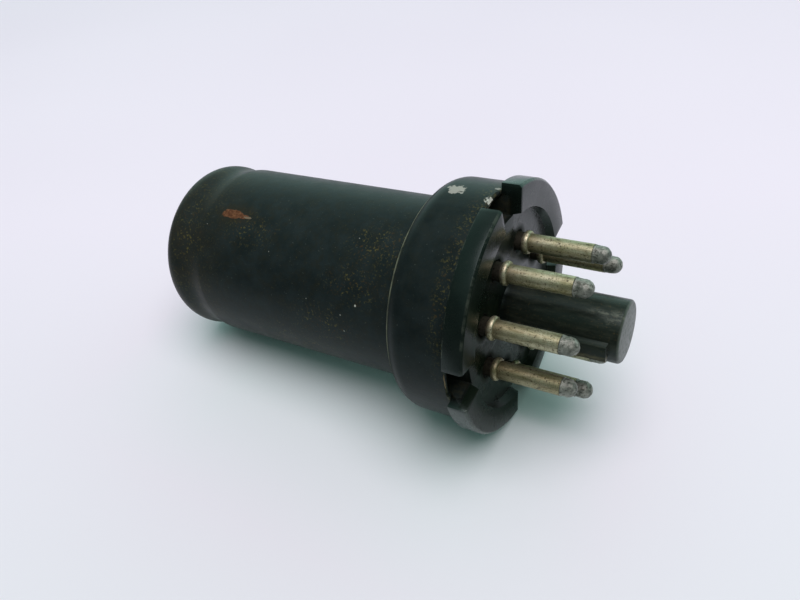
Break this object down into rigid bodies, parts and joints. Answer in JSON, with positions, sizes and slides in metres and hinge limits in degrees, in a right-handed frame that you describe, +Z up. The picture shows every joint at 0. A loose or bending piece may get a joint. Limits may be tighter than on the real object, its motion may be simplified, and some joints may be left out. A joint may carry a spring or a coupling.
{
  "type": "vacuum tube",
  "caption": "All-metal receiving tube with a black painted steel envelope, a crimped skirt and an octal base with a keyed aligning plug.",
  "frame": {"origin": "on the tube's axis, at the seat: the front face of the base's four lugs", "axes": "+X along the tube's axis, out of the pins and the aligning plug; the rounded end of the envelope is towards -X; +Z is up as the tube lies on its side, with one notch between two lugs straight down; the plug's key points to -Y"},
  "size_m": [0.0661, 0.0326, 0.0326],
  "materials": {
    "black_paint": "satin",
    "skirt_paint": "satin",
    "base_plastic": "gloss",
    "pin_metal": "tarnished",
    "solder": "dull",
    "lead_metal": "satin",
    "bare_steel": "satin",
    "stem_glass": "clear",
    "mica": "satin",
    "plate_metal": "matte",
    "grid_wire": "satin",
    "cathode_coating": "matte",
    "heater_wire": "matte",
    "getter_metal": "satin"
  },
  "bodies": {
    "root": {"metal_envelope": "black_paint", "header_skirt": "skirt_paint", "octal_base": "base_plastic", "base_pin_1": "pin_metal", "base_pin_2": "pin_metal", "base_pin_3": "pin_metal", "base_pin_4": "pin_metal", "base_pin_5": "pin_metal", "base_pin_6": "pin_metal", "base_pin_7": "pin_metal", "base_pin_8": "pin_metal", "pin_solder_1": "solder", "pin_solder_2": "solder", "pin_solder_3": "solder", "pin_solder_4": "solder", "pin_solder_5": "solder", "pin_solder_6": "solder", "pin_solder_7": "solder", "pin_solder_8": "solder", "lead_wire_1": "lead_metal", "lead_wire_2": "lead_metal", "lead_wire_3": "lead_metal", "lead_wire_4": "lead_metal", "lead_wire_5": "lead_metal", "lead_wire_6": "lead_metal", "lead_wire_7": "lead_metal", "lead_wire_8": "lead_metal", "header": "bare_steel", "header_insert": "bare_steel", "conical_stem_shield": "bare_steel", "cylindrical_base_shield": "bare_steel", "spacer_shield": "bare_steel", "mount_support_left": "bare_steel", "mount_support_right": "bare_steel", "glass_stem": "stem_glass", "exhaust_tube": "stem_glass", "lower_spacer": "mica", "upper_spacer": "mica", "plate": "plate_metal", "suppressor_grid": "grid_wire", "screen_grid": "grid_wire", "control_grid": "grid_wire", "cathode": "cathode_coating", "heater": "heater_wire", "getter": "getter_metal"}
  },
  "joints": []
}
